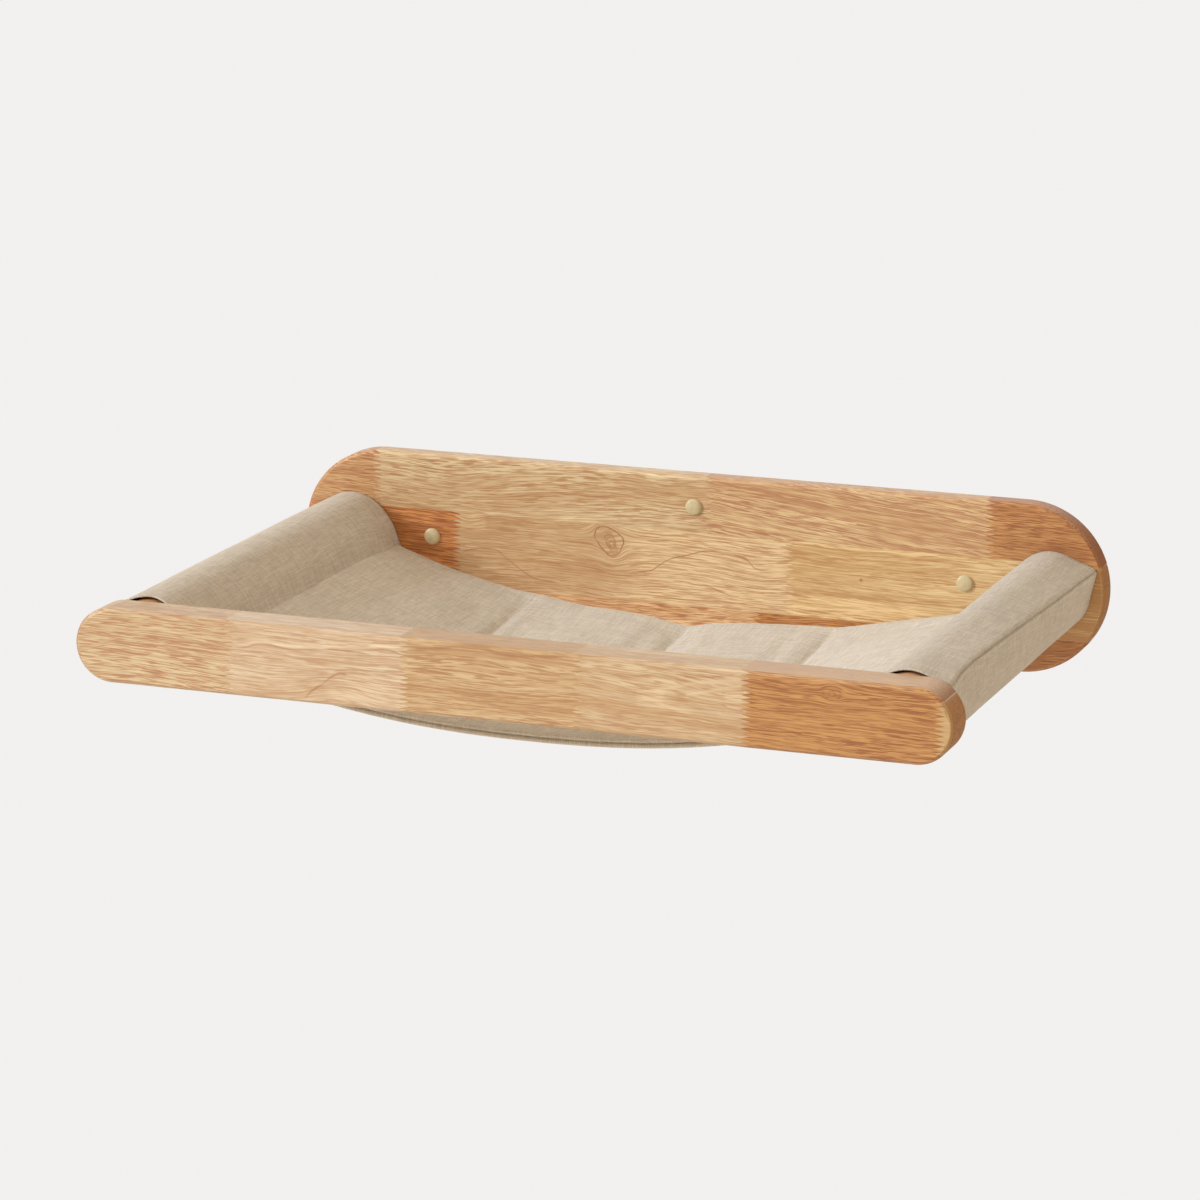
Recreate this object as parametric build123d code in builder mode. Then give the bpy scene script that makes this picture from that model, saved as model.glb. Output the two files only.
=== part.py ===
from build123d import *
import os
from math import acos, atan2, cos, degrees, hypot, radians, sin

os.makedirs("parts", exist_ok=True)

# A cat hammock for the wall: a tall back board, a low front board, two round rails between
# them and a quilted mat that hangs between the rails by a cloth sleeve on each.
# The origin is the centre of the face that lies on the wall. +Y points into the wall, so the
# hammock reaches out along -Y; +X is to the right and +Z is up. Sizes are in millimetres.

# Boards
BOARD_LENGTH = 600
BACK_HEIGHT = 120
BACK_THICKNESS = 18
FRONT_HEIGHT = 50
FRONT_THICKNESS = 30
EDGE_BREAK = 2

# Rails
RAIL_DIAMETER = 50
RAIL_LENGTH = 346
RAIL_X = 262
FRONT_BOARD_DEPTH = BACK_THICKNESS + RAIL_LENGTH

# Finger joints, and where they stand along each row of staves
FINGER_LENGTH = 7
FINGER_PITCH = 3.2
CUT_MARGIN = 5
UPPER_GLUE_LINE = 19.5
LOWER_GLUE_LINE = -34.5
BACK_TOP_JOINTS = [-243, 11.5, 217]
BACK_MIDDLE_JOINTS = [-181, 72]
BACK_BOTTOM_JOINTS = [-150, 48]
FRONT_JOINTS = [-189, -66, 53, 165]
FRONT_END_JOINT = 291
FRONT_END_JOINT_REACH = 5.5 * FINGER_PITCH

# Holes for the wall screws, and the caps that cover them
WALL_SCREW_SPACING = 400
TOP_SCREW_HEIGHT = 38
SCREW_HOLE_DIAMETER = 5.5
CAP_HOLE_DIAMETER = 10
CAP_HOLE_DEPTH = 9
CAP_DIAMETER = 12
CAP_HEIGHT = 2.6
CAP_BEVEL = 1.8
CAP_STEM_LENGTH = 5
CAP_STEM_WIDTH = 9.6
CAP_STEM_RIB = 2

# Fixings on each rail's axis: a bolt at the back and a glued dowel at the front
BOLT_DIAMETER = 8
BOLT_LENGTH = 40
BOLT_HEAD_DIAMETER = 16
BOLT_HEAD_HEIGHT = 3
BOLT_SOCKET = 5
BOLT_SOCKET_DEPTH = 2
BOLT_HOLE_DIAMETER = 8.6
HEAD_RECESS_DIAMETER = 20
HEAD_RECESS_DEPTH = 6
INSERT_DIAMETER = 12
INSERT_LENGTH = 20
INSERT_HOLE_DEPTH = 30
DOWEL_DIAMETER = 12
DOWEL_LENGTH = 40
DOWEL_HOLE_DEPTH = 20.5

# Quilted mat: two cloths with wadding between, sewn together along the sides and three
# channel seams, and hemmed along the front and the back
MAT_HALF_WIDTH = 227
MAT_SEAMS = [-MAT_HALF_WIDTH, -116, 3, 111, MAT_HALF_WIDTH]
MAT_BACK_DEPTH = 21
MAT_FRONT_DEPTH = 357
HEM_BOW = 13
HEM_ARCH = 3.5
SIDE_HEIGHT_AT_HEM = -8.5
SIDE_HEIGHT_MIDDLE = -9.5
LOW_HEIGHT_AT_HEM = -47
LOW_HEIGHT_MIDDLE = -57
SAG_POWER = 2.25
SAG_LEAN = 8
TOP_CROWN = 9
UNDER_CROWN = 5
CLOTH = 1.1
SEAM_WADDING = 0.8
WADDING_CLEARANCE = 0.1
HEM_WIDTH = 14
HEM_FOLD = 3.5
HEM_CLEARANCE = 0.1
SHOULDER = 36

# Sleeves: a cloth tube round each rail, pinched to a seam ridge on its outer side and drawn
# to the mat's side seam on its inner side
SLEEVE_RADIUS = 27.7
SLEEVE_HEM_RADIUS = 28.9
SLEEVE_HEM_WIDTH = 15
SLEEVE_CLEARANCE = 0.3
SLEEVE_DROP = 0.9
SLEEVE_BACK_DEPTH = 18.6
SLEEVE_FRONT_DEPTH = 363
RIDGE_REACH = 30.5
RIDGE_HEIGHT = 17
RIDGE_FOLD = 2

# Planes: each is square to the rails, at a depth from the wall, and faces the front
wall_plane = Plane.XZ
back_board_face = Plane.XZ.offset(BACK_THICKNESS)
front_board_back = Plane.XZ.offset(FRONT_BOARD_DEPTH)
rail_places = [(-RAIL_X, 0), (RAIL_X, 0)]


def save(piece, name):
    """Name a finished piece and write its file."""
    piece.part.label = name
    export_step(piece.part, f"parts/{name}.step")


def finger_line(x, low, high, side=-1):
    """Points up one finger joint, from low to high."""
    count = round((high - low) / FINGER_PITCH)
    pitch = (high - low) / count
    root = x + side * FINGER_LENGTH / 2
    tip = x - side * FINGER_LENGTH / 2
    points = [(root, low)]
    for finger in range(count):
        points += [(tip, low + (finger + 0.5) * pitch), (root, low + (finger + 1) * pitch)]
    return points


def row_borders(joints, low, high, lower_cut, upper_cut):
    """The lines between the staves of one row, with a straight line past each board end."""
    end = BOARD_LENGTH / 2 + CUT_MARGIN
    borders = [[(-end, lower_cut), (-end, upper_cut)]]
    for x in joints:
        fingers = finger_line(x, low, high)
        borders.append([(fingers[0][0], lower_cut)] + fingers + [(fingers[-1][0], upper_cut)])
    borders.append([(end, lower_cut), (end, upper_cut)])
    return borders


def cut_staves(blank, plane, thickness, borders, name):
    """Cut one row of a finished board into its finger-jointed staves and write each one."""
    for number, (left, right) in enumerate(zip(borders, borders[1:]), start=1):
        outline = without_repeats(left + right[::-1])
        with BuildPart() as stave:
            add(blank.part)
            with BuildSketch(plane.offset(-CUT_MARGIN)):
                with BuildLine():
                    Polyline(*outline, close=True)
                make_face()
            extrude(amount=thickness + 2 * CUT_MARGIN, mode=Mode.INTERSECT)
        save(stave, f"{name}_stave_{number}")


def without_repeats(points):
    """The same outline without a point that repeats the one before it."""
    kept = [points[0]]
    for point in points[1:]:
        if point != kept[-1]:
            kept.append(point)
    return kept


# Back board: a stadium with its edges broken, drilled for the wall screws from the front and
# for the rail bolts from the wall side
with BuildPart(back_board_face) as back_blank:
    with BuildSketch(back_board_face):
        SlotOverall(BOARD_LENGTH, BACK_HEIGHT)
    extrude(amount=-BACK_THICKNESS)
    chamfer(back_blank.faces().filter_by(Axis.Y).edges(), EDGE_BREAK)
    screw_places = [
        (-WALL_SCREW_SPACING / 2, 0),
        (WALL_SCREW_SPACING / 2, 0),
        (0, TOP_SCREW_HEIGHT),
    ]
    with Locations(*screw_places):
        CounterBoreHole(SCREW_HOLE_DIAMETER / 2, CAP_HOLE_DIAMETER / 2, CAP_HOLE_DEPTH)
    with BuildSketch(wall_plane):
        with Locations(*rail_places):
            Circle(HEAD_RECESS_DIAMETER / 2)
    extrude(amount=HEAD_RECESS_DEPTH, mode=Mode.SUBTRACT)
    with BuildSketch(wall_plane):
        with Locations(*rail_places):
            Circle(BOLT_HOLE_DIAMETER / 2)
    extrude(amount=BACK_THICKNESS, mode=Mode.SUBTRACT)

# The back board is glued up from three rows, each of staves that are finger-jointed end to end
half_back = BACK_HEIGHT / 2
back_rows = {
    "top": (
        BACK_TOP_JOINTS,
        UPPER_GLUE_LINE,
        half_back,
        UPPER_GLUE_LINE,
        half_back + CUT_MARGIN,
    ),
    "middle": (
        BACK_MIDDLE_JOINTS,
        LOWER_GLUE_LINE,
        UPPER_GLUE_LINE,
        LOWER_GLUE_LINE,
        UPPER_GLUE_LINE,
    ),
    "bottom": (
        BACK_BOTTOM_JOINTS,
        -half_back,
        LOWER_GLUE_LINE,
        -half_back - CUT_MARGIN,
        LOWER_GLUE_LINE,
    ),
}
for row, limits in back_rows.items():
    cut_staves(back_blank, wall_plane, BACK_THICKNESS, row_borders(*limits), f"back_board_{row}")

# Front board: a lower, thicker stadium with blind holes for the dowels in its back
with BuildPart() as front_blank:
    with BuildSketch(front_board_back):
        SlotOverall(BOARD_LENGTH, FRONT_HEIGHT)
    extrude(amount=FRONT_THICKNESS)
    chamfer(front_blank.faces().filter_by(Axis.Y).edges(), EDGE_BREAK)
    with BuildSketch(front_board_back):
        with Locations(*rail_places):
            Circle(DOWEL_DIAMETER / 2)
    extrude(amount=DOWEL_HOLE_DEPTH, mode=Mode.SUBTRACT)

# One row of staves: the short end piece is cut by fingers that stay inside the round end
half_front = FRONT_HEIGHT / 2
front_cut = half_front + CUT_MARGIN
front_borders = row_borders(FRONT_JOINTS, -half_front, half_front, -front_cut, front_cut)
end_fingers = finger_line(
    FRONT_END_JOINT, -FRONT_END_JOINT_REACH, FRONT_END_JOINT_REACH, side=1
)
end_border = [(end_fingers[0][0], -front_cut)] + end_fingers + [(end_fingers[-1][0], front_cut)]
front_borders.insert(-1, end_border)
cut_staves(front_blank, front_board_back, FRONT_THICKNESS, front_borders, "front_board")

# Rails: round bars, bored at the back for a threaded insert and at the front for a dowel
for place, name in zip(rail_places, ("left_rail", "right_rail")):
    with BuildPart() as rail:
        with BuildSketch(back_board_face):
            with Locations(place):
                Circle(RAIL_DIAMETER / 2)
        extrude(amount=RAIL_LENGTH)
        with BuildSketch(back_board_face):
            with Locations(place):
                Circle(INSERT_DIAMETER / 2)
        extrude(amount=INSERT_HOLE_DEPTH, mode=Mode.SUBTRACT)
        with BuildSketch(front_board_back):
            with Locations(place):
                Circle(DOWEL_DIAMETER / 2)
        extrude(amount=-DOWEL_HOLE_DEPTH, mode=Mode.SUBTRACT)
    save(rail, name)

# Caps: a bevelled head on the board's face and a cross-ribbed stem in the hole behind it
for name, place in zip(("left_cover_cap", "right_cover_cap", "top_cover_cap"), screw_places):
    with BuildPart() as cap:
        with BuildSketch(back_board_face):
            with Locations(place):
                Circle(CAP_DIAMETER / 2)
        extrude(amount=CAP_HEIGHT)
        chamfer(cap.faces().sort_by(Axis.Y)[0].edges(), CAP_BEVEL)
        with BuildSketch(back_board_face):
            with Locations(place):
                Rectangle(CAP_STEM_WIDTH, CAP_STEM_RIB)
                Rectangle(CAP_STEM_RIB, CAP_STEM_WIDTH)
        extrude(amount=-CAP_STEM_LENGTH)
    save(cap, name)

# Fixings: the bolts pass through the back board into the inserts, and the dowels lie half in
# the rails and half in the front board
head_seat = Plane.XZ.offset(HEAD_RECESS_DEPTH)
head_top = Plane.XZ.offset(HEAD_RECESS_DEPTH - BOLT_HEAD_HEIGHT)

with BuildPart() as bolts:
    with BuildSketch(head_seat):
        with Locations(*rail_places):
            Circle(BOLT_HEAD_DIAMETER / 2)
    extrude(amount=-BOLT_HEAD_HEIGHT)
    with BuildSketch(head_seat):
        with Locations(*rail_places):
            Circle(BOLT_DIAMETER / 2)
    extrude(amount=BOLT_LENGTH)
    with BuildSketch(head_top):
        with Locations(*rail_places):
            RegularPolygon(BOLT_SOCKET / 2, 6, major_radius=False)
    extrude(amount=BOLT_SOCKET_DEPTH, mode=Mode.SUBTRACT)
save(bolts, "rail_bolts")

with BuildPart() as inserts:
    with BuildSketch(back_board_face):
        with Locations(*rail_places):
            Circle(INSERT_DIAMETER / 2)
            Circle(BOLT_DIAMETER / 2, mode=Mode.SUBTRACT)
    extrude(amount=INSERT_LENGTH)
save(inserts, "rail_threaded_inserts")

with BuildPart() as dowels:
    with BuildSketch(front_board_back):
        with Locations(*rail_places):
            Circle(DOWEL_DIAMETER / 2)
    extrude(amount=DOWEL_LENGTH / 2, both=True)
save(dowels, "rail_dowels")


# Mat: its shape is worked out from where a point lies across the width and along the depth
def across(x):
    """How far out a point is: 0 at the middle of the width and 1 at the side seams."""
    return x / MAT_HALF_WIDTH


def hem_back(x):
    """The back edge, which bows forward between the rails."""
    return -(MAT_BACK_DEPTH + HEM_BOW * (1 - across(x) ** 2))


def hem_front(x):
    """The front edge, which bows back between the rails."""
    return -(MAT_FRONT_DEPTH - HEM_BOW * (1 - across(x) ** 2))


def along(x, y, inset=0):
    """How far along the depth a point is: -1 at the front hem and 1 at the back hem."""
    middle = (hem_back(x) + hem_front(x)) / 2
    return (y - middle) / ((hem_back(x) - hem_front(x)) / 2 - inset)


def panel_place(x):
    """Where a point lies across its own panel: -1 and 1 on its seams and 0 in its middle."""
    for left, right in zip(MAT_SEAMS, MAT_SEAMS[1:]):
        if x <= right:
            return (2 * x - left - right) / (right - left)


def side_height(v):
    """Height of the side seams, which droop a little between the hems."""
    return SIDE_HEIGHT_MIDDLE + (SIDE_HEIGHT_AT_HEM - SIDE_HEIGHT_MIDDLE) * v**2


def sag_share(x, v):
    """How deep a point hangs: 0 at the side seams and 1 at the lowest place, which lies
    further right towards the wall."""
    lean = SAG_LEAN * (1 + v) / 2 * (1 - across(x) ** 2)
    return 1 - abs((x - lean) / MAT_HALF_WIDTH) ** SAG_POWER


def seam_height(x, y):
    """Height of the sewn middle layer, which sags between the side seams. At the back hem
    each panel arches up between its own seams."""
    v = along(x, y)
    low = LOW_HEIGHT_MIDDLE + (LOW_HEIGHT_AT_HEM - LOW_HEIGHT_MIDDLE) * v**2
    arch = HEM_ARCH * (1 - panel_place(x) ** 2) * max(0, v) ** 4
    return side_height(v) + (low - side_height(v)) * sag_share(x, v) + arch


def puff(x, y):
    """How full a panel is at a point: 0 at its seams and hems, and 1 at its middle."""
    v = along(x, y, HEM_WIDTH)
    return max(0, 1 - panel_place(x) ** 2) ** 0.75 * max(0, 1 - v**4)


def skin(x, height, crown):
    """Three arcs along a panel, a crown above the seam layer or, with minus sizes, below it."""
    front = hem_front(x) + HEM_WIDTH
    back = hem_back(x) - HEM_WIDTH
    stops = [front, front + SHOULDER, back - SHOULDER, back]

    def at(y):
        return (y, seam_height(x, y) + height + crown * puff(x, y))

    for start, end in zip(stops, stops[1:]):
        ThreePointArc(at(start), at((start + end) / 2), at(end))
    return at(front), at(back)


def hem(x, y, outer, inner, side):
    """A folded edge of one cloth, joined to the ends of its outer and inner skins."""
    near = seam_height(x, y) + side * HEM_CLEARANCE / 2
    far = near + side * HEM_FOLD
    Polyline(outer, (y, far), (y, near), inner)


def cloth_section(x, side, crown):
    """One cloth, cut along the depth at x: side is 1 for the top and -1 for the under cloth."""
    inner_height = side * SEAM_WADDING / 2
    with BuildSketch(Plane.YZ.offset(x)) as section:
        with BuildLine():
            outer = skin(x, inner_height + side * CLOTH, side * crown)
            inner = skin(x, inner_height, side * crown)
            hem(x, hem_front(x), outer[0], inner[0], side)
            hem(x, hem_back(x), outer[1], inner[1], side)
        make_face()
    return section.sketch


def wadding_section(x):
    """The wadding, cut along the depth at x."""
    height = SEAM_WADDING / 2 - WADDING_CLEARANCE
    with BuildSketch(Plane.YZ.offset(x)) as section:
        with BuildLine():
            top = skin(x, height, TOP_CROWN)
            under = skin(x, -height, -UNDER_CROWN)
            Line(top[0], under[0])
            Line(top[1], under[1])
        make_face()
    return section.sketch


def stations(panel):
    """Where a panel is cut across its width: its two seams and three places between."""
    left, right = panel
    return [left + (right - left) * share for share in (0, 0.2, 0.5, 0.8, 1)]


panels = list(zip(MAT_SEAMS, MAT_SEAMS[1:]))

with BuildPart() as top_cloth:
    for panel in panels:
        loft([cloth_section(x, 1, TOP_CROWN) for x in stations(panel)], ruled=True)
save(top_cloth, "mat_top_cloth")

with BuildPart() as under_cloth:
    for panel in panels:
        loft([cloth_section(x, -1, UNDER_CROWN) for x in stations(panel)], ruled=True)
save(under_cloth, "mat_under_cloth")

with BuildPart() as wadding:
    for panel in panels:
        loft([wadding_section(x) for x in stations(panel)], ruled=True)
save(wadding, "mat_wadding")


# Sleeves: round over the rail, with straight runs to the ridge and to the mat's side seam
def tangent_angle(centre, radius, point, turn):
    """Angle on the circle where a straight run from the point touches it."""
    dx = point[0] - centre[0]
    dz = point[1] - centre[1]
    return degrees(atan2(dz, dx)) + turn * degrees(acos(radius / hypot(dx, dz)))


def on_circle(centre, radius, angle):
    """The point of a circle at an angle, in degrees."""
    return (centre[0] + radius * cos(radians(angle)), centre[1] + radius * sin(radians(angle)))


def sleeve_section(side, depth, radius):
    """The outline of a sleeve at one depth: side is -1 for the left one and 1 for the right."""
    centre = (RAIL_X, -SLEEVE_DROP)
    seam = (SIDE_HEIGHT_AT_HEM + SIDE_HEIGHT_MIDDLE) / 2
    half_seam = SEAM_WADDING / 2 + CLOTH
    seam_top = (MAT_HALF_WIDTH, seam + half_seam)
    seam_bottom = (MAT_HALF_WIDTH, seam - half_seam)
    ridge_top = (RAIL_X + RIDGE_REACH - RIDGE_FOLD / 2, RIDGE_HEIGHT + RIDGE_FOLD / 2)
    ridge_bottom = (RAIL_X + RIDGE_REACH, RIDGE_HEIGHT - RIDGE_FOLD / 2)
    over = (
        tangent_angle(centre, radius, seam_top, -1) % 360,
        tangent_angle(centre, radius, ridge_top, 1),
    )
    under = (
        tangent_angle(centre, radius, ridge_bottom, -1),
        tangent_angle(centre, radius, seam_bottom, 1) % 360 - 360,
    )

    def place(point):
        return (side * point[0], point[1])

    with BuildSketch(Plane.XZ.offset(depth)) as section:
        with BuildLine():
            for begin, (first, last), finish in (
                (seam_top, over, ridge_top),
                (ridge_bottom, under, seam_bottom),
            ):
                start = on_circle(centre, radius, first)
                middle = on_circle(centre, radius, (first + last) / 2)
                end = on_circle(centre, radius, last)
                Line(place(begin), place(start))
                ThreePointArc(place(start), place(middle), place(end))
                Line(place(end), place(finish))
            Line(place(ridge_top), place(ridge_bottom))
            Line(place(seam_bottom), place(seam_top))
        make_face()
    return section.sketch


for side, name in ((-1, "left_sleeve"), (1, "right_sleeve")):
    sleeve_length = SLEEVE_FRONT_DEPTH - SLEEVE_BACK_DEPTH
    with BuildPart() as sleeve:
        tube = sleeve_section(side, SLEEVE_BACK_DEPTH, SLEEVE_RADIUS)
        extrude(tube, amount=sleeve_length, dir=(0, -1, 0))
        for hem_start in (SLEEVE_BACK_DEPTH, SLEEVE_FRONT_DEPTH - SLEEVE_HEM_WIDTH):
            band = sleeve_section(side, hem_start, SLEEVE_HEM_RADIUS)
            extrude(band, amount=SLEEVE_HEM_WIDTH, dir=(0, -1, 0))
        with BuildSketch(wall_plane):
            with Locations((side * RAIL_X, 0)):
                Circle(RAIL_DIAMETER / 2 + SLEEVE_CLEARANCE)
        extrude(amount=FRONT_BOARD_DEPTH, mode=Mode.SUBTRACT)
    save(sleeve, name)
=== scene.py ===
from math import acos, atan2, cos, exp, hypot, pi, radians, sin

import bmesh
import bpy
import numpy as np
from mathutils import Matrix, Vector, noise


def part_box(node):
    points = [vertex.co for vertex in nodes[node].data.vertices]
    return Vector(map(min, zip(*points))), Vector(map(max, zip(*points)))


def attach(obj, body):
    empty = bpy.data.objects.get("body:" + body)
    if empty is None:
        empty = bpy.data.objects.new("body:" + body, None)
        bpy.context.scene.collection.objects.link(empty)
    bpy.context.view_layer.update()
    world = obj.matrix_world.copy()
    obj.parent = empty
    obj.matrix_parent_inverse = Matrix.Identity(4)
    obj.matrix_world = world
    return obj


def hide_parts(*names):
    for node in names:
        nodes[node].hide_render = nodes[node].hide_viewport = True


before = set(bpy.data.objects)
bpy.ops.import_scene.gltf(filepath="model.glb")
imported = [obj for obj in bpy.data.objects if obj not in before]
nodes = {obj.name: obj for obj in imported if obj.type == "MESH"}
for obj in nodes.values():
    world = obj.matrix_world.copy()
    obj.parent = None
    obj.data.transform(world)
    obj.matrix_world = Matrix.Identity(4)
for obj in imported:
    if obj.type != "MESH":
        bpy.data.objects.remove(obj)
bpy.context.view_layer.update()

BODY = "hammock"
MM = 0.001

# Bed and sleeves: the solids' own driving sizes, but for a fuller crown and sides that hang lower
BACK_FACE = 18 * MM
RAIL_X = 262 * MM
MAT_HALF = 227 * MM
MAT_SEAMS = [-227 * MM, -116 * MM, 3 * MM, 111 * MM, 227 * MM]
MAT_BACK = 21 * MM
MAT_FRONT = 357 * MM
HEM_BOW = 13 * MM
SIDE_AT_HEM = -8.5 * MM
SIDE_MIDDLE = -13.5 * MM
LOW_AT_HEM = -47 * MM
LOW_MIDDLE = -57 * MM
SAG_POWER = 2.25
SAG_LEAN = 8 * MM
HEM_LIFT_POWER = 4
# How far the back hem rises above the plain sag, as (x, lift) in millimetres
HEM_LIFT = [(-227, -1.7), (-204, -1.1), (-182, -0.7), (-152, 0.5), (-128, 1.2), (-116, 2.4),
            (-108, 3.0), (-80, 2.6), (-52, 4.2), (-26, 3.6), (-8, 0.6), (3, -0.6), (9, 0.4),
            (22, 3.2), (52, 4.7), (74, 4.3), (96, 2.9), (111, 0.6), (142, 0.7), (164, -0.2),
            (184, -2.4), (200, -4.5), (227, -4.5)]
TOP_CROWN = 14 * MM
UNDER_CROWN = 6 * MM
HEM_WIDTH = 14 * MM
HEM_FOLD = 3.5 * MM
HEM_GROOVE = 1.2 * MM
HEM_SLACK = 0.2 * MM
HEM_INSET = 3 * MM
HALF_SEAM = 1.2 * MM
ON_SEAM = 0.1 * MM
# The first panel's slack fold: its ends, its dip (depth, width) and what stands proud in front
# of it (height, distance, width)
CREASE = ((-196 * MM, -152 * MM), (-94 * MM, -220 * MM))
CREASE_DIP = (1.5 * MM, 3.2 * MM)
CREASE_FADE = 0.7
CREASE_FRONT = (1.6 * MM, 11 * MM, 9 * MM)
# A panel's fullness: two powers across it and one along it, and its share where it is tucked in,
# past its side seam
FULL_ACROSS, FULL_ROUND, FULL_ALONG = 2.3, 0.9, 3.5
TUCKED_FULLNESS, PAST_SEAM = 0.6, 1 * MM
# How much of the way to its sleeve's seam counts for an outer panel's fullness, per side
SEAM_TUCK = {-1: 0.72, 1: 0.92}
# How far the bed's ends are tucked in under the sleeves
TUCK_REACH = 3.5 * MM
# The bed's mesh: points along a skin and round a hem's edge, cuts across a panel and how they
# crowd towards its seams
SKIN_STEPS = 66
FOLD_STEPS = 5
PANEL_STEPS = 22
SEAM_CROWDING = 0.09
# Rows of a skin next to its hems that the filling leaves in place
HELD_ROWS = 4
# How far from the seams and hems the filling has its full effect
SEAM_HOLD, HEM_HOLD = 22 * MM, 26 * MM
SWELL_FRAMES, SWELL_CAP = 16, 4 * MM
FILLING = dict(
    quality=6, mass=0.3, tension_stiffness=18, compression_stiffness=18, shear_stiffness=8,
    bending_stiffness=0.4, use_pressure=True, uniform_pressure_force=4,
    vertex_group_mass="sewn", pin_stiffness=1)
BED_TINT = (232, 228, 217)
SLEEVE_RADIUS = 27.7 * MM
SLEEVE_LOW_RADIUS = 26.4 * MM
SLEEVE_FLARE = 0.25 * MM
SLEEVE_DROP = 0.9 * MM
SLEEVE_BACK = 18.7 * MM
SLEEVE_FRONT = 363.3 * MM
SLEEVE_CLOTH = 1.2 * MM
# Each sleeve's outer ridge, as (depth, reach from the rail's axis, height) in millimetres
RIDGES = {
    -1: [(19, 29.5, 14.5), (363, 29.5, 14.5)],
    1: [(19, 30.6, 16.6), (120, 29.0, 18.2), (240, 26.8, 21.0), (312, 25.8, 22.2),
        (335, 25.8, 21.6), (350, 26.2, 20.2), (363, 26.8, 18.6)],
}
# The ridge's cut, as (across, up) from its place: above, in its crease and below
RIDGE_CUT = ((-0.7 * MM, 0.8 * MM), (-1.1 * MM, -0.3 * MM), (0.0, -0.9 * MM))
# Where a sleeve's cloth starts and ends inside the bed, as (in from its side, above its skin)
SLEEVE_START = (3 * MM, -5.5 * MM)
SLEEVE_END = (4 * MM, 1.5 * MM)
CLEAR_OF_HEM = 16 * MM
RIDGE_INDEX = 72
BELOW_RIDGE = 78
ARC_STEPS = 40
# How far the sleeves' front hems draw back from the front board, in millimetres: (x, z, width,
# depth)
HEM_LIFTS = {-1: (259, 27.5, 9, 2.6), 1: (260, 28.4, 8, 0.6)}
# Share of a sleeve's depth at either end that has closer rows, and how many
END_SHARE, END_ROWS, MIDDLE_ROWS = 0.046, 12, 90
SLEEVE_HEM, HEM_FLARING = 14 * MM, 1.5
WAVES, WAVE_SCALE, WAVE_DEPTH_SCALE = 0.45 * MM, 40, 4.8
# Swelling beside the ridge, above and below it, and the bulge beside the bed, as (height, place
# along the cloth, width, end)
PUFF_REACH = 7 * MM
PUFF_ABOVE, PUFF_BELOW = 0.5, 0.7
BULGE = (2.4 * MM, 20, 11, 60 * MM)
# Each sleeve's linen tone; the right sleeve's is darker, which is painted shade
SLEEVE_COLOUR_AND_SHADE = {"left": (220, 213, 200), "right": (212, 206, 194)}
# Linen: a thread's width and wander, its tone's scale along it and step to the next one, the
# scales of the wander and of the soil, the cloth's relief and the edges of the paler line on
# the hem, a painted highlight
THREAD, THREAD_WANDER, THREAD_TONE = 0.85 * MM, 0.9 * MM, (55.0, 7.31)
WANDER_SCALE, SOIL_SCALE, WEAVE_RELIEF = (60,) * 3, (18,) * 3, 0.34 * MM
HEM_HIGHLIGHT = (3.0 * MM, 1.6 * MM)


def srgb(red, green, blue):
    """A colour as it looks on screen, from 0 to 255, as the shader's own linear values."""
    def linear(value):
        value /= 255
        return value / 12.92 if value <= 0.04045 else ((value + 0.055) / 1.055) ** 2.4

    return (linear(red), linear(green), linear(blue), 1)


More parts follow.
